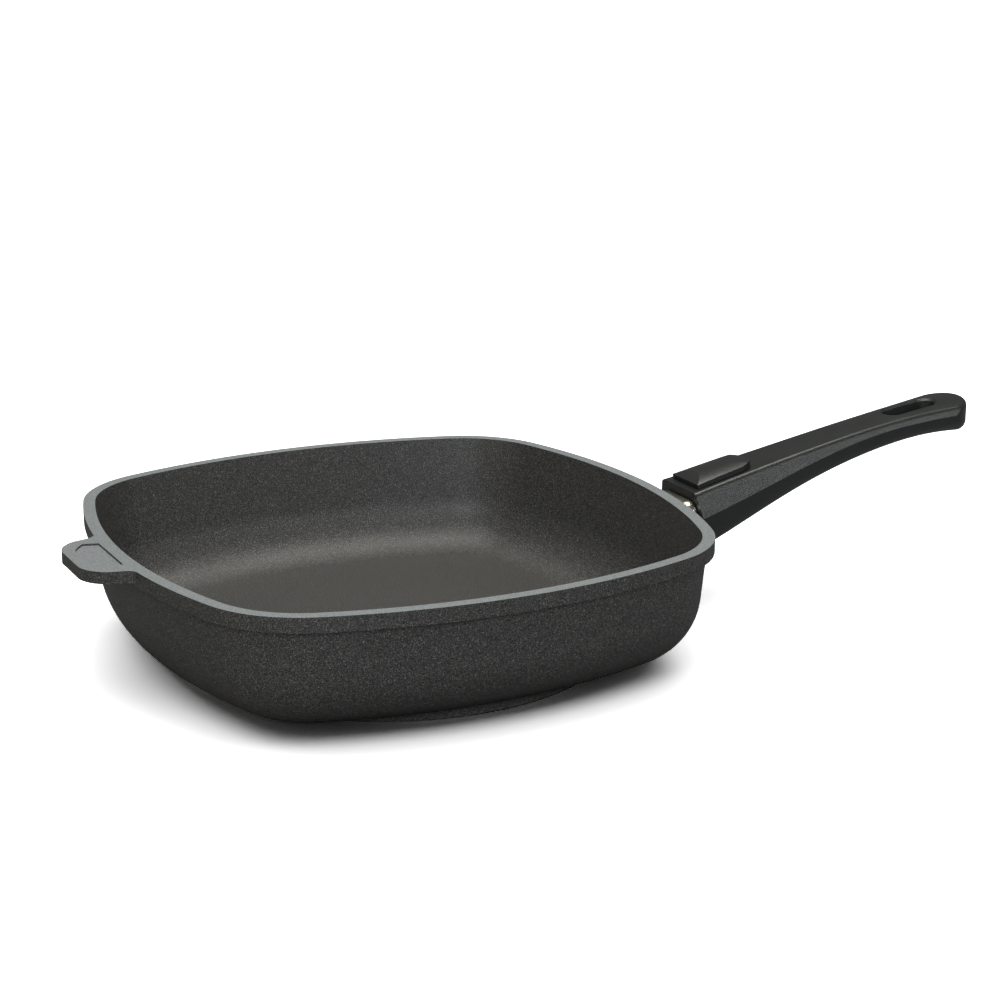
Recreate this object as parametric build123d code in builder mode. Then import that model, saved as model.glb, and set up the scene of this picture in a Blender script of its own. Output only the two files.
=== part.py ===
from build123d import *
import os
from math import atan2, cos, degrees, radians, sin, sqrt

os.makedirs("parts", exist_ok=True)

# The pan stands on the XY plane with its rim level, and the handle points along +X.
# Every size is in millimetres.

# Cast pan body
PAN_HEIGHT = 68.0           # table to the flat top of the rim
RIM_HALF = 146.2            # centre to the outside of the rim, along X and along Y
SIDE_BOW_RADIUS = 300.5     # the four sides bow gently outwards
CORNER_RADIUS = 57.5        # the four corners, at the outside of the rim
LAND_WIDTH = 6.2            # bare flat land on top of the rim
BAND_HEIGHT = 7.5           # the rim band, down to its sharp lower edge
BAND_STEP = 3.1             # how far the band stands out from the wall
WALL_DRAFT = 6.0            # degrees, outside of the wall
BOTTOM_RADIUS = 35.0        # outside bend from the wall to the underside
PAD_RADIUS = 112.0          # round machined foot that meets the hob
PAD_HEIGHT = 5.0
FLOOR_THICKNESS = 9.5       # over the foot
CAVITY_DRAFT = 7.5          # degrees, inside of the wall
FLOOR_RADIUS = 29.0         # inside bend from the wall to the floor

# Helper tab on the far side of the pan from the handle
TAB_LENGTH = 20.0           # outside of the rim to the tip of the tab
TAB_THICKNESS = 6.0
TAB_TIP_HALF = 13.0         # half the straight run at the tip
TAB_SHOULDER = 10.3         # outside of the rim to where the corners start
TAB_SHOULDER_HALF = 27.2
TAB_FLARE = 2.8             # length of the hollow flare at the root
TAB_ROOT_HALF = 35.5
TAB_RECESS_DEPTH = 1.0
TAB_MARGIN = 6.0            # edge of the tab to the edge of its recess

# Handle axis: the head of the handle climbs away from the pan
HEAD_TILT = 11.0            # degrees above level
HEAD_FRONT_X = RIM_HALF + 22.8      # top front edge of the head
HEAD_FRONT_Z = PAN_HEIGHT - 6.57
SLIDER_TRAVEL = 6.0         # the button is pulled back this far to free the handle
RUN_GAP = 0.35              # clearance between the pan's pieces and the handle's
SLIDE_GAP = 0.4             # clearance round the sliding pieces

# Steel bracket: a ridged collar outside the handle and a hollow tongue inside it
COLLAR_HALF = 17.2
COLLAR_TOP = -4.8           # below the top of the head
COLLAR_BOTTOM = -24.0
COLLAR_LENGTH = 21.0
COLLAR_RADIUS = 7.0
COLLAR_RIDGES = 3
GROOVE_WIDTH = 1.3
GROOVE_DEPTH = 0.7
TONGUE_HALF = 11.0
TONGUE_TOP = -8.0
TONGUE_BOTTOM = -20.0
TONGUE_LENGTH = 28.0
TONGUE_WALL = 2.0
TONGUE_RADIUS = 2.4
BASE_PLATE = 2.5
BRACKET_SCREW_RADIUS = 2.0
BRACKET_SCREW_HEAD_RADIUS = 3.5
BRACKET_SCREW_HEAD = 3.0
BRACKET_SCREW_DEPTH = 9.5
BRACKET_SCREW_OFFSET = 4.4
BOSS_MARGIN = 0.9           # the cast boss stands this far outside the collar

# Sheet steel liner of the handle's socket
LINER_WALL = 1.05
LINER_START = 0.5
LINER_LENGTH = TONGUE_LENGTH + 1.0

# Chamber over the liner, where the catch and the slider's shoe work
CHAMBER_HALF = 8.0
CHAMBER_START = 4.5
CHAMBER_END = 34.0
ROOF_THICKNESS = 2.2
WINDOW_HALF = 5.0
WINDOW_START = 12.5

# Catch: a spring steel leaf whose tooth drops into the tongue
LEAF_THICKNESS = 0.5
LEAF_HALF = 4.0
LEAF_LIFT = 0.7             # the free part of the leaf stands this far off the liner
TOOTH_FRONT = 8.6
TOOTH_REAR = 11.0
TOOTH_BITE = 2.2            # how deep the tooth stands into the tongue
TOOTH_ROOM = 0.6
RIVET_RADIUS = 1.2
RIVET_HEAD_RADIUS = 2.2
RIVET_HEAD = 0.7
RIVET_PLACE = 26.3

# Slider: a thumb button over the head, a steel shoe under its roof
BUTTON_FRONT = 4.4
BUTTON_SIDE_HALF = 13.0
BUTTON_REAR_HALF = 11.2
BUTTON_ROUND_PLACE = 32.6   # where the sides meet the round rear end
BUTTON_SIDE_HEIGHT = 2.2
BUTTON_DOME = 2.2
BUTTON_RAMP = 7.0           # length of the sloping front facet
STEM_HALF = WINDOW_HALF - 0.6
STEM_START = WINDOW_START + 0.5
STEM_END = 22.0
SHOE_THICKNESS = 1.3
SHOE_HALF = CHAMBER_HALF - 0.8
SHOE_START = CHAMBER_START + 0.5
LIP_THICKNESS = 1.1
SLIDER_SCREW_RADIUS = 1.5
SLIDER_SCREW_HEAD_RADIUS = 2.8
SLIDER_SCREW_PLACE = 17.5
SPRING_RADIUS = 1.5         # to the middle of the wire
SPRING_WIRE_RADIUS = 0.3
SPRING_TURNS = 8
SPRING_LEVEL = -2.3
SPRING_PIN_RADIUS = 0.8
SPRING_PIN_START = STEM_END + SLIDER_TRAVEL + 2.0

# Screw through the underside of the head into the liner
LINER_SCREW_RADIUS = 1.75
LINER_SCREW_HEAD_RADIUS = 3.0
LINER_SCREW_HEAD = 2.0
LINER_SCREW_PLACE = 24.0
LINER_SCREW_SEAT = -26.0

# Moulded grip
GRIP_LENGTH = 185.0         # head's top front edge to the tip of the tail, along X
# Its sections, station by station from the head to the tail. Each line is the distance
# behind the head's top front edge, the rise of the top edges above it, the half width of the
# top, the crown of the top, the depth of the upper side facet and the depth of the grip.
GRIP_STATIONS = [
    (-3.0, -0.58, 17.7, 0.02, 13.2, 38.0),
    (21.0, 4.08, 15.6, 0.02, 12.6, 34.0),
    (46.0, 8.94, 14.1, 0.02, 10.3, 28.0),
    (71.0, 13.65, 13.2, 0.30, 7.6, 22.3),
    (96.0, 18.05, 12.7, 0.90, 5.2, 18.1),
    (121.0, 22.05, 12.7, 1.50, 3.9, 15.5),
    (GRIP_LENGTH - 39.0, 25.45, 13.8, 2.00, 3.8, 14.4),
    (GRIP_LENGTH - 18.0, 27.85, 16.0, 2.00, 4.2, 15.4),
    (GRIP_LENGTH + 8.0, 30.15, 18.6, 2.00, 4.6, 18.6),
]
FACET_FLARE = 0.36          # the upper side facets lean out this much per millimetre down
GRIP_FLAT_HALF = 5.0        # half the flat run along the underside
GRIP_END_ROUND = 17.0       # length of the round tail
GRIP_END_HALF = 18.2
GRIP_TAIL_FILLET = 6.0      # soft lower edge of the tail
GRIP_CREST_FILLET = 3.0     # soft upper edge of the tail
HANG_SLOT_START = GRIP_LENGTH - 52.0    # behind the head's top front edge
HANG_SLOT_END = GRIP_LENGTH - 19.0
HANG_SLOT_HALF = 6.4
HANG_SLOT_CHAMFER = 1.2

# Frames of the head: lengthwise side view, cross section and top
tilt = radians(HEAD_TILT)
head_origin = (HEAD_FRONT_X, 0, HEAD_FRONT_Z)
head_along = (cos(tilt), 0, sin(tilt))
head_up = (-sin(tilt), 0, cos(tilt))
HEAD_TOP = Plane(origin=head_origin, x_dir=head_along, z_dir=head_up)
HEAD_SIDE = Plane(origin=head_origin, x_dir=head_along, z_dir=(0, -1, 0))
HEAD_FRONT = Plane(origin=head_origin, x_dir=(0, 1, 0), z_dir=head_along)

# Sizes that follow from the ones above
liner_half = TONGUE_HALF + RUN_GAP + LINER_WALL
liner_top = TONGUE_TOP + RUN_GAP + LINER_WALL
liner_bottom = TONGUE_BOTTOM - RUN_GAP - LINER_WALL
liner_end = LINER_START + LINER_LENGTH
roof_bottom = -ROOF_THICKNESS
shoe_top = roof_bottom - SLIDE_GAP
shoe_bottom = shoe_top - SHOE_THICKNESS
leaf_bottom = liner_top + LEAF_LIFT
leaf_top = leaf_bottom + LEAF_THICKNESS
button_bottom = RUN_GAP
button_shoulder = button_bottom + BUTTON_SIDE_HEIGHT
button_crest = button_shoulder + BUTTON_DOME
button_rear = BUTTON_ROUND_PLACE + BUTTON_REAR_HALF
tongue_middle = (TONGUE_TOP + TONGUE_BOTTOM) / 2


def square_outline(half):
    """Edges of the pan's outline at this half width: bowed sides blending into round corners."""
    inset = RIM_HALF - half
    side_centre = RIM_HALF - SIDE_BOW_RADIUS
    reach = SIDE_BOW_RADIUS - CORNER_RADIUS
    corner = (side_centre + sqrt(2 * reach**2 - side_centre**2)) / 2
    blend = degrees(atan2(corner, corner - side_centre))
    with BuildLine() as outline:
        for quarter in range(4):
            turn = radians(90 * quarter)
            middle = (side_centre * cos(turn), side_centre * sin(turn))
            CenterArc(middle, SIDE_BOW_RADIUS - inset, 90 * quarter - blend, 2 * blend)
            bend = (
                corner * (cos(turn) - sin(turn)),
                corner * (sin(turn) + cos(turn)),
            )
            CenterArc(bend, CORNER_RADIUS - inset, 90 * quarter + blend, 90 - 2 * blend)
    return outline.edges()


def tab_outline(margin):
    """Edges of the helper tab, or of the recess in it when a margin is taken off its edge."""
    tip = -RIM_HALF - TAB_LENGTH + margin
    tip_half = TAB_TIP_HALF - margin / 4
    shoulder = -RIM_HALF - TAB_SHOULDER + margin / 2
    shoulder_half = TAB_SHOULDER_HALF - margin
    flare = -RIM_HALF - TAB_FLARE
    root = -RIM_HALF + 2.2 if margin == 0 else -RIM_HALF
    root_half = TAB_ROOT_HALF if margin == 0 else TAB_SHOULDER_HALF - 1.4 * margin
    inner = -RIM_HALF + LAND_WIDTH / 2 if margin == 0 else root
    with BuildLine() as outline:
        for side in (1, -1):
            if margin == 0:
                Line((inner, side * root_half), (root, side * root_half))
                ThreePointArc(
                    (root, side * root_half),
                    (flare + 3.6, side * (root_half - 4.2)),
                    (flare, side * (shoulder_half + 1.9)),
                )
                Line((flare, side * (shoulder_half + 1.9)), (shoulder, side * shoulder_half))
            else:
                Line((root, side * root_half), (shoulder, side * shoulder_half))
            ThreePointArc(
                (shoulder, side * shoulder_half),
                (tip + 3.3, side * (shoulder_half * 0.62 + tip_half * 0.38)),
                (tip, side * tip_half),
            )
        Line((tip, tip_half), (tip, -tip_half))
        Line((inner, root_half), (inner, -root_half))
    return outline.edges()


def box_section(half, top, bottom, radius):
    """Face of an upright rounded rectangle in a cross section of the head."""
    with Locations((0, (top + bottom) / 2)):
        RectangleRounded(2 * half, top - bottom, radius)


# Pan body
# One aluminium casting: drafted wall, rim band, thick floor with a round foot, a helper tab
# and, opposite the tab, a boss for the handle bracket.
with BuildPart() as pan_cavity:
    with BuildSketch(Plane(origin=(0, 0, PAN_HEIGHT), z_dir=(0, 0, -1))):
        make_face(square_outline(RIM_HALF - LAND_WIDTH))
    extrude(amount=PAN_HEIGHT - FLOOR_THICKNESS, taper=CAVITY_DRAFT)
    fillet(pan_cavity.faces().sort_by(Axis.Z)[0].edges(), FLOOR_RADIUS)

with BuildPart() as pan_body:
    with BuildSketch(Plane(origin=(0, 0, PAN_HEIGHT), z_dir=(0, 0, -1))):
        make_face(square_outline(RIM_HALF - BAND_STEP))
    extrude(amount=PAN_HEIGHT - PAD_HEIGHT, taper=WALL_DRAFT)
    fillet(pan_body.faces().sort_by(Axis.Z)[0].edges(), BOTTOM_RADIUS)
    with BuildSketch(Plane.XY.offset(PAN_HEIGHT - BAND_HEIGHT)):
        make_face(square_outline(RIM_HALF))
    extrude(amount=BAND_HEIGHT)
    with BuildSketch(Plane.XY.offset(PAN_HEIGHT - TAB_THICKNESS)):
        make_face(tab_outline(0))
    extrude(amount=TAB_THICKNESS)
    with BuildSketch(Plane.XY):
        Circle(PAD_RADIUS)
    extrude(amount=PAD_HEIGHT + 1)
    fillet(pan_body.faces().sort_by(Axis.Z)[0].edges(), 1.0)
    with BuildSketch(HEAD_FRONT.offset(-COLLAR_LENGTH)):
        box_section(
            COLLAR_HALF + BOSS_MARGIN,
            COLLAR_TOP + BOSS_MARGIN,
            COLLAR_BOTTOM - BOSS_MARGIN,
            COLLAR_RADIUS + BOSS_MARGIN,
        )
    extrude(amount=-17)
    add(pan_cavity.part, mode=Mode.SUBTRACT)
    with BuildSketch(Plane.XY.offset(PAN_HEIGHT - TAB_RECESS_DEPTH)):
        make_face(tab_outline(TAB_MARGIN))
    extrude(amount=TAB_RECESS_DEPTH, mode=Mode.SUBTRACT)
    with BuildSketch(HEAD_FRONT.offset(-COLLAR_LENGTH)):
        with Locations((0, tongue_middle)):
            with GridLocations(2 * BRACKET_SCREW_OFFSET, 0, 2, 1):
                Circle(BRACKET_SCREW_RADIUS + 0.03)
    extrude(amount=-BRACKET_SCREW_DEPTH, mode=Mode.SUBTRACT)

# Handle bracket
# Stainless casting screwed to the boss: ridged collar, then a hollow tongue with a notch
# in its top for the catch.
with BuildPart() as handle_bracket:
    with BuildSketch(HEAD_FRONT.offset(-COLLAR_LENGTH)):
        box_section(COLLAR_HALF, COLLAR_TOP, COLLAR_BOTTOM, COLLAR_RADIUS)
    extrude(amount=COLLAR_LENGTH - SLIDE_GAP)
    with BuildSketch(HEAD_FRONT.offset(-SLIDE_GAP)):
        box_section(TONGUE_HALF, TONGUE_TOP, TONGUE_BOTTOM, TONGUE_RADIUS)
    extrude(amount=TONGUE_LENGTH + SLIDE_GAP)
    with BuildSketch(HEAD_FRONT.offset(-COLLAR_LENGTH + BASE_PLATE)):
        box_section(COLLAR_HALF - 3, COLLAR_TOP - 2.6, COLLAR_BOTTOM + 2.6, COLLAR_RADIUS - 2.5)
    extrude(amount=COLLAR_LENGTH - BASE_PLATE - 4, mode=Mode.SUBTRACT)
    with BuildSketch(HEAD_FRONT.offset(-4)):
        box_section(
            TONGUE_HALF - TONGUE_WALL,
            TONGUE_TOP - TONGUE_WALL,
            TONGUE_BOTTOM + TONGUE_WALL,
            1.0,
        )
    extrude(amount=TONGUE_LENGTH + 4, mode=Mode.SUBTRACT)
    for ridge in range(1, COLLAR_RIDGES):
        place = -ridge * (GROOVE_WIDTH + 2.9) - 0.6
        with BuildSketch(HEAD_FRONT.offset(place)):
            box_section(COLLAR_HALF + 2, COLLAR_TOP + 2, COLLAR_BOTTOM - 2, COLLAR_RADIUS + 2)
            with Locations((0, (COLLAR_TOP + COLLAR_BOTTOM) / 2)):
                RectangleRounded(
                    2 * (COLLAR_HALF - GROOVE_DEPTH),
                    COLLAR_TOP - COLLAR_BOTTOM - 2 * GROOVE_DEPTH,
                    COLLAR_RADIUS - GROOVE_DEPTH,
                    mode=Mode.SUBTRACT,
                )
        extrude(amount=-GROOVE_WIDTH, mode=Mode.SUBTRACT)
    with BuildSketch(HEAD_TOP.offset(TONGUE_TOP + 1)):
        with Locations(((TOOTH_FRONT + TOOTH_REAR) / 2, 0)):
            Rectangle(TOOTH_REAR - TOOTH_FRONT + 2 * TOOTH_ROOM, 2 * (LEAF_HALF + TOOTH_ROOM))
    extrude(amount=-TONGUE_WALL - 2, mode=Mode.SUBTRACT)
    with BuildSketch(HEAD_FRONT.offset(-COLLAR_LENGTH)):
        with Locations((0, tongue_middle)):
            with GridLocations(2 * BRACKET_SCREW_OFFSET, 0, 2, 1):
                Circle(BRACKET_SCREW_RADIUS + 0.25)
    extrude(amount=BASE_PLATE, mode=Mode.SUBTRACT)

# Bracket screws
# Two socket head screws inside the tongue, reached through its open end.
with BuildPart() as bracket_screws:
    with BuildSketch(HEAD_FRONT.offset(-COLLAR_LENGTH + BASE_PLATE)):
        with Locations((0, tongue_middle)):
            with GridLocations(2 * BRACKET_SCREW_OFFSET, 0, 2, 1):
                Circle(BRACKET_SCREW_HEAD_RADIUS)
    extrude(amount=BRACKET_SCREW_HEAD)
    with BuildSketch(HEAD_FRONT.offset(-COLLAR_LENGTH + BASE_PLATE)):
        with Locations((0, tongue_middle)):
            with GridLocations(2 * BRACKET_SCREW_OFFSET, 0, 2, 1):
                Circle(BRACKET_SCREW_RADIUS)
    extrude(amount=-BASE_PLATE - BRACKET_SCREW_DEPTH + 0.5)
    with BuildSketch(HEAD_FRONT.offset(-COLLAR_LENGTH + BASE_PLATE + BRACKET_SCREW_HEAD)):
        with Locations((0, tongue_middle)):
            with GridLocations(2 * BRACKET_SCREW_OFFSET, 0, 2, 1):
                RegularPolygon(1.7, 6)
    extrude(amount=-1.8, mode=Mode.SUBTRACT)


# Handle grip
# Phenolic moulding: flat crowned top, leaning upper side facets, a rounded belly, a socket
# and catch chamber in its head and a hanging slot in its tail.
def grip_section(top, half, crown, facet, depth):
    """Edges of the grip's cross section, seen from the pan."""
    wide = half + FACET_FLARE * facet
    belly = depth - facet
    with BuildLine() as outline:
        ThreePointArc((-half, top), (0, top + crown), (half, top))
        for side in (1, -1):
            Line((side * half, top), (side * wide, top - facet))
            Bezier(
                (side * wide, top - facet),
                (side * (wide - 0.1 * belly), top - facet - 0.5 * belly),
                (side * (GRIP_FLAT_HALF + 0.5 * (wide - GRIP_FLAT_HALF)), top - depth),
                (side * GRIP_FLAT_HALF, top - depth),
            )
        Line((GRIP_FLAT_HALF, top - depth), (-GRIP_FLAT_HALF, top - depth))
    return outline.edges()


with BuildPart() as handle_grip:
    for place, rise, half, crown, facet, depth in GRIP_STATIONS:
        with BuildSketch(Plane.YZ.offset(HEAD_FRONT_X + place)):
            make_face(grip_section(HEAD_FRONT_Z + rise, half, crown, facet, depth))
    loft()
    split(bisect_by=HEAD_FRONT, keep=Keep.TOP)
    with BuildSketch(Plane.XY):
        with Locations((HEAD_FRONT_X + GRIP_LENGTH - GRIP_END_ROUND, 0)):
            Ellipse(GRIP_END_ROUND, GRIP_END_HALF)
            Rectangle(GRIP_LENGTH, 3 * GRIP_END_HALF, align=(Align.MAX, Align.CENTER))
    extrude(amount=2 * PAN_HEIGHT, mode=Mode.INTERSECT)
    tail_end = handle_grip.faces().sort_by(Axis.X)[-1]
    fillet(tail_end.edges().sort_by(Axis.Z)[:-1], GRIP_TAIL_FILLET)
    crest = handle_grip.edges().filter_by(lambda e: e.length > 2 * GRIP_END_ROUND)
    fillet(crest.sort_by(Axis.Z)[-1], GRIP_CREST_FILLET)
    with BuildSketch(HEAD_FRONT.offset(-1)):
        box_section(liner_half, liner_top, liner_bottom, TONGUE_RADIUS + RUN_GAP + LINER_WALL)
    extrude(amount=liner_end + 1, mode=Mode.SUBTRACT)
    with BuildSketch(HEAD_TOP.offset(roof_bottom)):
        with Locations(((CHAMBER_START + CHAMBER_END) / 2, 0)):
            Rectangle(CHAMBER_END - CHAMBER_START, 2 * CHAMBER_HALF)
    extrude(amount=liner_top - roof_bottom - 0.2, mode=Mode.SUBTRACT)
    with BuildSketch(HEAD_TOP.offset(2)):
        with Locations(((WINDOW_START + CHAMBER_END) / 2, 0)):
            Rectangle(CHAMBER_END - WINDOW_START, 2 * WINDOW_HALF)
    extrude(amount=-2 - ROOF_THICKNESS - 1, mode=Mode.SUBTRACT)
    with BuildSketch(HEAD_FRONT.offset(CHAMBER_END)):
        with Locations((0, SPRING_LEVEL)):
            Circle(SPRING_PIN_RADIUS)
    extrude(amount=4, mode=Mode.SUBTRACT)
    with BuildSketch(HEAD_TOP.offset(LINER_SCREW_SEAT)):
        with Locations((LINER_SCREW_PLACE, 0)):
            Circle(LINER_SCREW_HEAD_RADIUS + 0.4)
    extrude(amount=-20, mode=Mode.SUBTRACT)
    with BuildSketch(HEAD_TOP.offset(LINER_SCREW_SEAT)):
        with Locations((LINER_SCREW_PLACE, 0)):
            Circle(LINER_SCREW_RADIUS + 0.1)
    extrude(amount=liner_bottom - LINER_SCREW_SEAT, mode=Mode.SUBTRACT)
    with BuildSketch(Plane.XY):
        with Locations((HEAD_FRONT_X + (HANG_SLOT_START + HANG_SLOT_END) / 2, 0)):
            SlotOverall(HANG_SLOT_END - HANG_SLOT_START, 2 * HANG_SLOT_HALF)
    extrude(amount=2 * PAN_HEIGHT, mode=Mode.SUBTRACT)
    slot_rim = handle_grip.edges().filter_by(lambda e: e.length > HANG_SLOT_HALF)
    slot_rim = slot_rim.filter_by_position(
        Axis.X, HEAD_FRONT_X + HANG_SLOT_START - 1, HEAD_FRONT_X + HANG_SLOT_END + 1
    )
    slot_rim = slot_rim.filter_by_position(Axis.Y, -HANG_SLOT_HALF - 1, HANG_SLOT_HALF + 1)
    chamfer(slot_rim.sort_by(Axis.Z)[-4:], HANG_SLOT_CHAMFER)

# Socket liner
# Folded steel sleeve pressed into the head, notched for the tooth of the catch.
with BuildPart() as socket_liner:
    with BuildSketch(HEAD_FRONT.offset(LINER_START)):
        box_section(liner_half, liner_top, liner_bottom, TONGUE_RADIUS + RUN_GAP + LINER_WALL)
        with Locations((0, (liner_top + liner_bottom) / 2)):
            RectangleRounded(
                2 * (liner_half - LINER_WALL),
                liner_top - liner_bottom - 2 * LINER_WALL,
                TONGUE_RADIUS + RUN_GAP,
                mode=Mode.SUBTRACT,
            )
    extrude(amount=LINER_LENGTH)
    with BuildSketch(HEAD_TOP.offset(liner_top + 1)):
        with Locations(((TOOTH_FRONT + TOOTH_REAR) / 2, 0)):
            Rectangle(TOOTH_REAR - TOOTH_FRONT + 2 * TOOTH_ROOM, 2 * (LEAF_HALF + TOOTH_ROOM))
        with Locations((RIVET_PLACE, 0)):
            Circle(RIVET_RADIUS)
    extrude(amount=-LINER_WALL - 2, mode=Mode.SUBTRACT)
    with BuildSketch(HEAD_TOP.offset(liner_bottom - 1)):
        with Locations((LINER_SCREW_PLACE, 0)):
            Circle(LINER_SCREW_RADIUS + 0.03)
    extrude(amount=LINER_WALL + 2, mode=Mode.SUBTRACT)

# Liner screw
# Cross head screw in a counterbore under the head of the handle.
with BuildPart() as liner_screw:
    with BuildSketch(HEAD_TOP.offset(LINER_SCREW_SEAT)):
        with Locations((LINER_SCREW_PLACE, 0)):
            Circle(LINER_SCREW_HEAD_RADIUS)
    extrude(amount=-LINER_SCREW_HEAD)
    with BuildSketch(HEAD_TOP.offset(LINER_SCREW_SEAT)):
        with Locations((LINER_SCREW_PLACE, 0)):
            Circle(LINER_SCREW_RADIUS)
    extrude(amount=liner_bottom + LINER_WALL - 0.1 - LINER_SCREW_SEAT)
    with BuildSketch(HEAD_TOP.offset(LINER_SCREW_SEAT - LINER_SCREW_HEAD)):
        with Locations((LINER_SCREW_PLACE, 0)):
            Rectangle(3.4, 0.8)
            Rectangle(0.8, 3.4)
    extrude(amount=1.2, mode=Mode.SUBTRACT)

# Catch leaf
# Spring steel strip riveted to the liner: turned-up nose, tooth with a sloping front and a
# square back, and a cranked tail.
with BuildPart() as latch_leaf:
    tooth_tip = TONGUE_TOP - TOOTH_BITE
    tail = liner_top + LEAF_THICKNESS
    with BuildSketch(HEAD_SIDE):
        with BuildLine():
            Polyline(
                (liner_end, liner_top),
                (liner_end, tail),
                (RIVET_PLACE - 2.1, tail),
                (RIVET_PLACE - 3.9, leaf_top),
                (TOOTH_FRONT - 0.3, leaf_top),
                (TOOTH_FRONT - 1.7, leaf_top + 1.1),
                (TOOTH_FRONT - 2.1, leaf_top + 0.7),
                (TOOTH_FRONT - 0.5, leaf_bottom),
                (TOOTH_FRONT, leaf_bottom),
                (TOOTH_FRONT, TONGUE_TOP + 0.4),
                (TOOTH_FRONT + 1.3, tooth_tip),
                (TOOTH_REAR, tooth_tip),
                (TOOTH_REAR, leaf_bottom),
                (RIVET_PLACE - 4.1, leaf_bottom),
                (RIVET_PLACE - 2.3, liner_top),
                close=True,
            )
        make_face()
    extrude(amount=LEAF_HALF, both=True)
    with BuildSketch(HEAD_TOP.offset(liner_top)):
        with Locations((RIVET_PLACE, 0)):
            Circle(RIVET_RADIUS)
    extrude(amount=2, mode=Mode.SUBTRACT)

# Catch rivet
with BuildPart() as latch_rivet:
    with BuildSketch(HEAD_TOP.offset(liner_top + LEAF_THICKNESS)):
        with Locations((RIVET_PLACE, 0)):
            Circle(RIVET_HEAD_RADIUS)
    extrude(amount=RIVET_HEAD)
    with BuildSketch(HEAD_TOP.offset(liner_top + LEAF_THICKNESS)):
        with Locations((RIVET_PLACE, 0)):
            Circle(RIVET_RADIUS)
    extrude(amount=-LEAF_THICKNESS - LINER_WALL)

# Slider button
# Moulded thumb button: straight sides and a round rear end in plan, a domed top and a flat
# ramp at the front that cuts the dome in an arc. Its stem passes through the window.
with BuildPart() as slider_button:
    with BuildSketch(HEAD_TOP.offset(button_bottom)):
        with BuildLine():
            Line((BUTTON_FRONT, BUTTON_SIDE_HALF), (BUTTON_FRONT, -BUTTON_SIDE_HALF))
            Line((BUTTON_FRONT, -BUTTON_SIDE_HALF), (BUTTON_ROUND_PLACE, -BUTTON_REAR_HALF))
            CenterArc((BUTTON_ROUND_PLACE, 0), BUTTON_REAR_HALF, -90, 180)
            Line((BUTTON_ROUND_PLACE, BUTTON_REAR_HALF), (BUTTON_FRONT, BUTTON_SIDE_HALF))
        make_face()
    extrude(amount=button_crest - button_bottom)
    with BuildSketch(HEAD_SIDE):
        with BuildLine():
            Polyline(
                (BUTTON_FRONT, button_bottom),
                (BUTTON_FRONT, button_shoulder),
                (BUTTON_FRONT + BUTTON_RAMP, button_crest),
                (BUTTON_ROUND_PLACE - 6, button_crest),
            )
            ThreePointArc(
                (BUTTON_ROUND_PLACE - 6, button_crest),
                ((BUTTON_ROUND_PLACE - 6 + button_rear) / 2, button_crest - 0.25 * BUTTON_DOME),
                (button_rear, button_shoulder),
            )
            Polyline(
                (button_rear, button_shoulder),
                (button_rear, button_bottom),
                (BUTTON_FRONT, button_bottom),
            )
        make_face()
    extrude(amount=2 * BUTTON_SIDE_HALF, both=True, mode=Mode.INTERSECT)
    with BuildSketch(HEAD_FRONT):
        with BuildLine():
            ThreePointArc(
                (-BUTTON_SIDE_HALF - 0.6, button_shoulder - 0.3),
                (0, button_crest),
                (BUTTON_SIDE_HALF + 0.6, button_shoulder - 0.3),
            )
            Polyline(
                (BUTTON_SIDE_HALF + 0.6, button_shoulder - 0.3),
                (BUTTON_SIDE_HALF + 0.6, button_bottom),
                (-BUTTON_SIDE_HALF - 0.6, button_bottom),
                (-BUTTON_SIDE_HALF - 0.6, button_shoulder - 0.3),
            )
        make_face()
    extrude(amount=2 * button_rear, mode=Mode.INTERSECT)
    with BuildSketch(HEAD_TOP.offset(button_bottom)):
        with Locations(((STEM_START + STEM_END) / 2, 0)):
            Rectangle(STEM_END - STEM_START, 2 * STEM_HALF)
    extrude(amount=shoe_top - button_bottom)
    with BuildSketch(HEAD_TOP.offset(shoe_top)):
        with Locations((SLIDER_SCREW_PLACE, 0)):
            Circle(SLIDER_SCREW_RADIUS + 0.03)
    extrude(amount=5.6, mode=Mode.SUBTRACT)

# Slider shoe
# Sheet steel plate that holds the slider down under the roof; its turned-down lip runs
# under the nose of the leaf and lifts the tooth.
with BuildPart() as slider_shoe:
    with BuildSketch(HEAD_TOP.offset(shoe_top)):
        with Locations(((SHOE_START + STEM_END) / 2, 0)):
            RectangleRounded(STEM_END - SHOE_START, 2 * SHOE_HALF, 1.0)
    extrude(amount=-SHOE_THICKNESS)
    with BuildSketch(HEAD_TOP.offset(shoe_bottom)):
        with Locations((SHOE_START + LIP_THICKNESS / 2, 0)):
            Rectangle(LIP_THICKNESS, 2 * LEAF_HALF)
    extrude(amount=leaf_bottom - shoe_bottom + 0.3)
    with BuildSketch(HEAD_SIDE):
        with BuildLine():
            Polyline(
                (SLIDER_SCREW_PLACE, shoe_top + 0.5),
                (SLIDER_SCREW_PLACE + SLIDER_SCREW_RADIUS + 0.1, shoe_top + 0.5),
                (SLIDER_SCREW_PLACE + SLIDER_SCREW_RADIUS + 0.1, shoe_top),
                (SLIDER_SCREW_PLACE + SLIDER_SCREW_HEAD_RADIUS, shoe_bottom),
                (SLIDER_SCREW_PLACE, shoe_bottom),
                close=True,
            )
        make_face()
    screw_axis = Axis(HEAD_SIDE.from_local_coords((SLIDER_SCREW_PLACE, 0, 0)), head_up)
    revolve(axis=screw_axis, mode=Mode.SUBTRACT)

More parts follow.
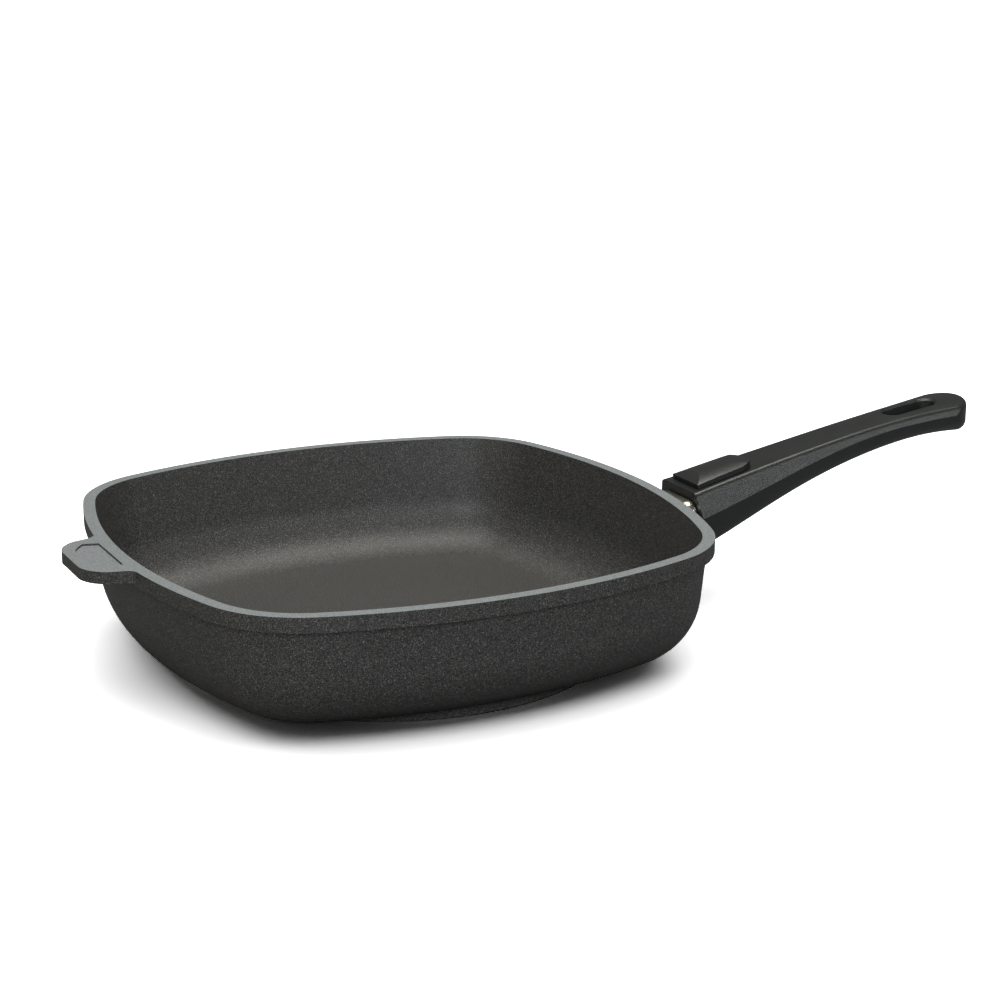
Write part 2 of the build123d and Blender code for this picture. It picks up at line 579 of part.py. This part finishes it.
# Slider screw
# Countersunk screw from below, flush with the shoe.
with BuildPart() as slider_screw:
    with BuildSketch(HEAD_SIDE):
        with BuildLine():
            Polyline(
                (SLIDER_SCREW_PLACE, shoe_top + 5.0),
                (SLIDER_SCREW_PLACE + SLIDER_SCREW_RADIUS, shoe_top + 5.0),
                (SLIDER_SCREW_PLACE + SLIDER_SCREW_RADIUS, shoe_top),
                (SLIDER_SCREW_PLACE + SLIDER_SCREW_HEAD_RADIUS - 0.1, shoe_bottom),
                (SLIDER_SCREW_PLACE, shoe_bottom),
                close=True,
            )
        make_face()
    revolve(axis=screw_axis)
    with BuildSketch(HEAD_TOP.offset(shoe_bottom)):
        with Locations((SLIDER_SCREW_PLACE, 0)):
            Rectangle(2.6, 0.6)
            Rectangle(0.6, 2.6)
    extrude(amount=0.8, mode=Mode.SUBTRACT)

# Slider spring
# Coil spring over a guide pin, between the rear wall of the window and the stem.
coil_start = STEM_END + RUN_GAP + SPRING_WIRE_RADIUS
coil_end = CHAMBER_END - SPRING_WIRE_RADIUS
coil_length = coil_end - coil_start
coil_centre = HEAD_SIDE.from_local_coords((coil_start, SPRING_LEVEL, 0))
with BuildPart() as slider_spring:
    with BuildLine() as coil_path:
        Helix(
            pitch=coil_length / SPRING_TURNS,
            height=coil_length,
            radius=SPRING_RADIUS,
            center=coil_centre,
            direction=head_along,
        )
    with BuildSketch(Plane(origin=coil_path.line @ 0, z_dir=coil_path.line % 0)):
        Circle(SPRING_WIRE_RADIUS)
    sweep(path=coil_path.line, is_frenet=True)

# Spring pin
with BuildPart() as spring_pin:
    with BuildSketch(HEAD_FRONT.offset(SPRING_PIN_START)):
        with Locations((0, SPRING_LEVEL)):
            Circle(SPRING_PIN_RADIUS)
    extrude(amount=CHAMBER_END + 4 - SPRING_PIN_START)

# Export
pan_body.part.label = "pan_body"
handle_bracket.part.label = "handle_bracket"
bracket_screws.part.label = "bracket_screws"
handle_grip.part.label = "handle_grip"
socket_liner.part.label = "socket_liner"
liner_screw.part.label = "liner_screw"
latch_leaf.part.label = "latch_leaf"
latch_rivet.part.label = "latch_rivet"
slider_button.part.label = "slider_button"
slider_shoe.part.label = "slider_shoe"
slider_screw.part.label = "slider_screw"
slider_spring.part.label = "slider_spring"
spring_pin.part.label = "spring_pin"

export_step(pan_body.part, "parts/pan_body.step")
export_step(handle_bracket.part, "parts/handle_bracket.step")
export_step(bracket_screws.part, "parts/bracket_screws.step")
export_step(handle_grip.part, "parts/handle_grip.step")
export_step(socket_liner.part, "parts/socket_liner.step")
export_step(liner_screw.part, "parts/liner_screw.step")
export_step(latch_leaf.part, "parts/latch_leaf.step")
export_step(latch_rivet.part, "parts/latch_rivet.step")
export_step(slider_button.part, "parts/slider_button.step")
export_step(slider_shoe.part, "parts/slider_shoe.step")
export_step(slider_screw.part, "parts/slider_screw.step")
export_step(slider_spring.part, "parts/slider_spring.step")
export_step(spring_pin.part, "parts/spring_pin.step")
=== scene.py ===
import math

import bpy
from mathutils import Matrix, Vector


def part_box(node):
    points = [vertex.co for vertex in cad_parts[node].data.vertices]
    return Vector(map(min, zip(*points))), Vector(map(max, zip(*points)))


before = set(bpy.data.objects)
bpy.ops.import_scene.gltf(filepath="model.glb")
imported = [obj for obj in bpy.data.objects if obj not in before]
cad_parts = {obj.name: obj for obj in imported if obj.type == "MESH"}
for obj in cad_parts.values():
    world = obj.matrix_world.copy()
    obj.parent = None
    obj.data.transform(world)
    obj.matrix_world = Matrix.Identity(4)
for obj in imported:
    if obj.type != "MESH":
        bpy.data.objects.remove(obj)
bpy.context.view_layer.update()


# Pan
# One aluminium casting, sand-blasted and sprayed with a dark speckled release coating. The land on
# top of the rim and of the tab is turned back to bare metal.
mm = 0.001
# The coating's grains are drawn coarser than the real ones, so that they show.
coat_grain = 0.526 * mm
coat_cloud = 45.5 * mm
coat_greys = [(0.33, "#0b0b0b"), (0.5, "#323231"), (0.6, "#4b4b49"), (0.7, "#7c7b78")]
land_greys = [(0.32, "#5c6163"), (0.68, "#8d9497")]
land_depth = 1.6 * mm
land_level = 0.85
pan_low, pan_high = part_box("pan_body")
rim_height = pan_high[2]


def linear(colour):
    """Linear RGBA of a #rrggbb colour."""
    parts = [int(colour[i : i + 2], 16) / 255 for i in (1, 3, 5)]
    return [p / 12.92 if p <= 0.04045 else ((p + 0.055) / 1.055) ** 2.4 for p in parts] + [1.0]


def add(tree, kind, inputs=None, stops=(), **settings):
    """Adds a shader node; inputs maps socket names to a value or to another node's output, and
    stops are the (place, colour) pairs of a colour ramp."""
    node = tree.nodes.new("ShaderNode" + kind)
    for key, value in settings.items():
        setattr(node, key, value)
    for key, value in (inputs or {}).items():
        if isinstance(value, bpy.types.NodeSocket):
            tree.links.new(value, node.inputs[key])
        else:
            node.inputs[key].default_value = value
    if stops:
        elements = node.color_ramp.elements
        while len(elements) < len(stops):
            elements.new(position=0.5)
        for element, (place, colour) in zip(elements, stops):
            element.position = place
            element.color = linear(colour)
    return node


def new_material(name):
    """An empty node material with its surface shader and output in place."""
    material = bpy.data.materials.new(name)
    material.use_nodes = True
    tree = material.node_tree
    tree.nodes.clear()
    shader = add(tree, "BsdfPrincipled")
    tree.links.new(shader.outputs[0], add(tree, "OutputMaterial").inputs["Surface"])
    return material, tree, shader


def coated_cast_aluminium():
    """Sand-blasted casting under a sprayed coating: dark warm grey with darker and lighter grains
    of half a millimetre, whose relief breaks up the highlight. A face counts as the bare satin
    land where its normal's Z is over land_level and it lies within land_depth of the rim's top."""
    material, tree, shader = new_material("coated_cast_aluminium")
    place = add(tree, "TexCoord").outputs["Object"]
    grain = add(
        tree, "TexNoise", {"Vector": place, "Scale": 1 / coat_grain, "Detail": 2.0, "Roughness": 0.6}
    )
    cloud = add(tree, "TexNoise", {"Vector": place, "Scale": 1 / coat_cloud, "Detail": 2.0})
    coat = add(tree, "ValToRGB", {"Fac": grain.outputs["Fac"]}, coat_greys)
    land = add(tree, "ValToRGB", {"Fac": grain.outputs["Fac"]}, land_greys)
    facing = add(tree, "SeparateXYZ", {"Vector": add(tree, "NewGeometry").outputs["Normal"]})
    height = add(tree, "SeparateXYZ", {"Vector": place})
    level = add(tree, "Math", {0: facing.outputs["Z"], 1: land_level}, operation="GREATER_THAN")
    above = add(
        tree, "Math", {0: height.outputs["Z"], 1: rim_height - land_depth}, operation="GREATER_THAN"
    )
    bare = add(tree, "Math", {0: level.outputs[0], 1: above.outputs[0]}, operation="MULTIPLY")
    colour = add(
        tree,
        "Mix",
        {"Factor": bare.outputs[0], "A": coat.outputs["Color"], "B": land.outputs["Color"]},
        data_type="RGBA",
    )
    tree.links.new(colour.outputs["Result"], shader.inputs["Base Color"])
    rough = add(tree, "MapRange", {"Value": cloud.outputs["Fac"], "To Min": 0.44, "To Max": 0.52})
    tree.links.new(rough.outputs["Result"], shader.inputs["Roughness"])
    bump = add(
        tree, "Bump", {"Height": grain.outputs["Fac"], "Strength": 0.35, "Distance": 0.4 * mm}
    )
    tree.links.new(bump.outputs["Normal"], shader.inputs["Normal"])
    return material


def dress(node, material, bevel=0, angle=28):
    """Gives a CAD node its material. Its loose triangles are welded first; a bevel then rounds the
    edges that turn by more than angle degrees, and the large faces keep their flat shading."""
    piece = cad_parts[node]
    piece.data.materials.clear()
    piece.data.materials.append(material)
    weld = piece.modifiers.new("weld", "WELD")
    weld.merge_threshold = 0.002 * mm
    if bevel:
        edge = piece.modifiers.new("edges", "BEVEL")
        edge.width = bevel
        edge.segments = 2
        edge.limit_method = "ANGLE"
        edge.angle_limit = math.radians(angle)
    shade = piece.modifiers.new("shading", "WEIGHTED_NORMAL")
    shade.weight = 80


dress("pan_body", coated_cast_aluminium(), bevel=0.4 * mm)


# Handle grip and slider button
# Compression-moulded phenolic plastic from a spark-eroded mould, satin and a dark green-grey. The
# button is one moulding with a domed top and a sloping front.
# The mould's pebble grain is drawn coarser than the real one, so that it shows.
pebble_width = 0.588 * mm
mottle_width = 16.7 * mm
grained_greys = [(0.36, "#181a1a"), (0.64, "#2d3030")]
smooth_greys = [(0.3, "#1c1f1e"), (0.7, "#202322")]


def moulded_phenolic():
    """Phenolic from an eroded mould: near-black grey-green. The sides keep the mould's fine pebble
    grain, which fades out where the surface turns upwards and is only faintly mottled."""
    material, tree, shader = new_material("moulded_phenolic")
    place = add(tree, "TexCoord").outputs["Object"]
    pebble = add(tree, "TexNoise", {"Vector": place, "Scale": 1 / pebble_width, "Detail": 2.0})
    mottle = add(tree, "TexNoise", {"Vector": place, "Scale": 1 / mottle_width, "Detail": 3.0})
    facing = add(tree, "SeparateXYZ", {"Vector": add(tree, "NewGeometry").outputs["Normal"]})
    graining = add(
        tree,
        "MapRange",
        {"Value": facing.outputs["Z"], "From Min": 0.75, "From Max": 0.9, "To Min": 0.6, "To Max": 0.0},
    )
    grained = add(tree, "ValToRGB", {"Fac": pebble.outputs["Fac"]}, grained_greys)
    smooth = add(tree, "ValToRGB", {"Fac": mottle.outputs["Fac"]}, smooth_greys)
    colour = add(
        tree,
        "Mix",
        {"Factor": graining.outputs["Result"], "A": smooth.outputs["Color"], "B": grained.outputs["Color"]},
        data_type="RGBA",
    )
    tree.links.new(colour.outputs["Result"], shader.inputs["Base Color"])
    rough = add(tree, "MapRange", {"Value": mottle.outputs["Fac"], "To Min": 0.28, "To Max": 0.34})
    tree.links.new(rough.outputs["Result"], shader.inputs["Roughness"])
    bump = add(
        tree,
        "Bump",
        {"Height": pebble.outputs["Fac"], "Strength": graining.outputs["Result"], "Distance": 0.3 * mm},
    )
    tree.links.new(bump.outputs["Normal"], shader.inputs["Normal"])
    return material


phenolic = moulded_phenolic()
dress("handle_grip", phenolic, bevel=0.3 * mm)
dress("slider_button", phenolic, bevel=0.4 * mm, angle=9)


# Handle bracket
# Stainless steel casting, tumbled to a satin finish and screwed to the pan's boss; its collar's
# ridges are polished by handling.
# The scratches are drawn wider than the real ones, so that they show.
scratch_width = 0.333 * mm
scratch_stretch = 0.04
bracket_greys = [(0.3, "#c9c2b4"), (0.7, "#ddd8cc")]


def satin_stainless():
    """Tumbled stainless casting: warm bright metal with fine scratches that run round the collar,
    because the grain is stretched across X."""
    material, tree, shader = new_material("satin_stainless")
    place = add(tree, "TexCoord").outputs["Object"]
    stretched = add(
        tree, "Mapping", {"Vector": place, "Scale": (1.0, scratch_stretch, scratch_stretch)}
    )
    scratch = add(
        tree,
        "TexNoise",
        {"Vector": stretched.outputs["Vector"], "Scale": 1 / scratch_width, "Detail": 2.0},
    )
    shader.inputs["Metallic"].default_value = 1.0
    colour = add(tree, "ValToRGB", {"Fac": scratch.outputs["Fac"]}, bracket_greys)
    tree.links.new(colour.outputs["Color"], shader.inputs["Base Color"])
    rough = add(tree, "MapRange", {"Value": scratch.outputs["Fac"], "To Min": 0.2, "To Max": 0.3})
    tree.links.new(rough.outputs["Result"], shader.inputs["Roughness"])
    bump = add(
        tree, "Bump", {"Height": scratch.outputs["Fac"], "Strength": 0.1, "Distance": 0.1 * mm}
    )
    tree.links.new(bump.outputs["Normal"], shader.inputs["Normal"])
    return material


dress("handle_bracket", satin_stainless(), bevel=0.5 * mm)


# Screws, liner, catch and spring
# Small steel pieces of the bracket and inside the head: zinc-plated screws and pins, a liner and
# shoe of sheet steel, and an oil-blued spring steel leaf and coil.
# The turning grain is drawn coarser than the real one, so that it shows.
turning_width = 0.4 * mm
roughness_spread = 0.08


def small_steel(name, dark, light, roughness):
    """Small machined steel piece: fine turning grain in two close greys."""
    material, tree, shader = new_material(name)
    place = add(tree, "TexCoord").outputs["Object"]
    grain = add(tree, "TexNoise", {"Vector": place, "Scale": 1 / turning_width, "Detail": 2.0})
    shader.inputs["Metallic"].default_value = 1.0
    colour = add(tree, "ValToRGB", {"Fac": grain.outputs["Fac"]}, [(0.3, dark), (0.7, light)])
    tree.links.new(colour.outputs["Color"], shader.inputs["Base Color"])
    rough = add(
        tree,
        "MapRange",
        {"Value": grain.outputs["Fac"], "To Min": roughness, "To Max": roughness + roughness_spread},
    )
    tree.links.new(rough.outputs["Result"], shader.inputs["Roughness"])
    return material


zinc = small_steel("zinc_plated_steel", "#a8aaac", "#bfc1c2", 0.28)
sheet_steel = small_steel("sheet_steel", "#94969a", "#a8aaad", 0.35)
blued = small_steel("blued_spring_steel", "#3a3d45", "#50545c", 0.3)
for node in ("bracket_screws", "liner_screw", "latch_rivet", "slider_screw", "spring_pin"):
    dress(node, zinc)
for node in ("socket_liner", "slider_shoe"):
    dress(node, sheet_steel)
for node in ("latch_leaf", "slider_spring"):
    dress(node, blued)


# Paper sweep
# Matt white paper under the pan. The camera sees it white, and glowing by itself far from the pan
# so that its edge never shows; other rays meet a duller grey, so that it lights the pan little.
sweep_size = 16
# The paper's fibres are drawn as clumps, far coarser than the real ones, so that they show.
paper_fibre = 3.33 * mm
paper_gain = 1.7
glow_start = 0.5
glow_full = 1.3


def floor_paper():
    """White sweep paper with a trace of fibre. The glow grows with the distance from the origin,
    from nothing at glow_start to full white at glow_full."""
    material, tree, shader = new_material("white_sweep_paper")
    place = add(tree, "TexCoord").outputs["Object"]
    fibre = add(tree, "TexNoise", {"Vector": place, "Scale": 1 / paper_fibre, "Detail": 2.0})
    paper = add(
        tree, "ValToRGB", {"Fac": fibre.outputs["Fac"]}, [(0.0, "#fbfbfb"), (1.0, "#ffffff")]
    )
    lit = add(
        tree, "VectorMath", {0: paper.outputs["Color"], "Scale": paper_gain}, operation="SCALE"
    )
    near = add(tree, "BsdfDiffuse", {"Color": lit.outputs["Vector"]})
    reach = add(tree, "VectorMath", {0: place}, operation="LENGTH")
    fade = add(
        tree,
        "MapRange",
        {"Value": reach.outputs["Value"], "From Min": glow_start, "From Max": glow_full},
    )
    far = add(tree, "Emission", {"Strength": fade.outputs["Result"]})
    bright = add(tree, "AddShader", {0: near.outputs[0], 1: far.outputs[0]})
    dull = add(tree, "BsdfDiffuse", {"Color": linear("#707070")})
    path = add(tree, "LightPath")
    sheet = add(
        tree,
        "MixShader",
        {0: path.outputs["Is Camera Ray"], 1: dull.outputs[0], 2: bright.outputs[0]},
    )
    tree.links.new(sheet.outputs[0], tree.nodes["Material Output"].inputs["Surface"])
    tree.nodes.remove(shader)
    return material


bpy.ops.mesh.primitive_plane_add(size=sweep_size, location=(0, 0, 0))
floor = bpy.context.object
floor.name = "floor"
floor.data.materials.append(floor_paper())


# Lamps and room
# Four soft lamps light the pan and skip the paper; a wide sheet lamp lights the paper alone and
# draws the shadow. The room is white to the camera and dim to everything else.
room_strength = 0.13


def lamp(name, place, target, size, power, colour="#ffffff"):
    """A square soft lamp at place that looks at target."""
    light = bpy.data.lights.new(name, "AREA")
    light.size = size
    light.energy = power
    light.color = linear(colour)[:3]
    thing = bpy.data.objects.new(name, light)
    bpy.context.scene.collection.objects.link(thing)
    thing.location = place
    thing.rotation_mode = "QUATERNION"
    thing.rotation_quaternion = (Vector(target) - Vector(place)).to_track_quat("-Z", "Y")
    return thing


def link_lamps(lights, name, state):
    """Lets these lamps skip the paper sweep (EXCLUDE) or light nothing else (INCLUDE)."""
    chosen = bpy.data.collections.new(name)
    chosen.objects.link(floor)
    chosen.collection_objects[0].light_linking.link_state = state
    for light in lights:
        light.light_linking.receiver_collection = chosen


key = lamp("key_lamp", (-0.7, -1.5, 0.85), (0, 0, 0.04), size=0.8, power=19, colour="#fafcff")
top = lamp("top_lamp", (0.2, 0.3, 1.45), (0, 0.05, 0.03), size=1.0, power=23, colour="#fffbf3")
side = lamp("side_lamp", (-1.3, -0.25, 0.32), (-0.1, 0, 0.05), size=0.5, power=2, colour="#fff6e8")
glint = lamp("handle_lamp", (0.7, -0.85, 0.42), (0.26, 0, 0.08), size=0.25, power=1.9)
sheet_lamp = lamp("sheet_lamp", (0, 0, 1.5), (0, 0, 0), size=3.0, power=60)
link_lamps((key, top, side, glint), "lamps_skip", "EXCLUDE")
link_lamps((sheet_lamp,), "sheet_only", "INCLUDE")

scene = bpy.context.scene
scene.world = bpy.data.worlds.new("studio")
scene.world.use_nodes = True
sky = scene.world.node_tree
sky.nodes.clear()
path = add(sky, "LightPath")
seen = add(sky, "Background", {"Color": (1, 1, 1, 1), "Strength": 1.0})
room = add(sky, "Background", {"Color": (1, 1, 1, 1), "Strength": room_strength})
choice = add(
    sky,
    "MixShader",
    {0: path.outputs["Is Camera Ray"], 1: room.outputs[0], 2: seen.outputs[0]},
)
sky.links.new(choice.outputs[0], add(sky, "OutputWorld").inputs["Surface"])
scene.view_settings.view_transform = "Standard"


# Camera
# Stands where the photograph was taken from: its angles, its distance and its lens were solved
# from the outline of the rim, the walls and the handle.
look_at = Vector((0.06097, -0.00114, rim_height))
azimuth = math.radians(-26.861)
elevation = math.radians(16.005)
distance = 1.18555
lens = 82.9
sensor_width = 36
clip_start = 0.05
clip_end = 50

back = Vector(
    (
        math.sin(azimuth) * math.cos(elevation),
        -math.cos(azimuth) * math.cos(elevation),
        math.sin(elevation),
    )
)
camera = bpy.data.objects.new("camera", bpy.data.cameras.new("camera"))
scene.collection.objects.link(camera)
scene.camera = camera
camera.location = look_at + back * distance
camera.rotation_mode = "QUATERNION"
camera.rotation_quaternion = (-back).to_track_quat("-Z", "Y")
camera.data.sensor_width = sensor_width
camera.data.lens = lens
camera.data.clip_start = clip_start
camera.data.clip_end = clip_end
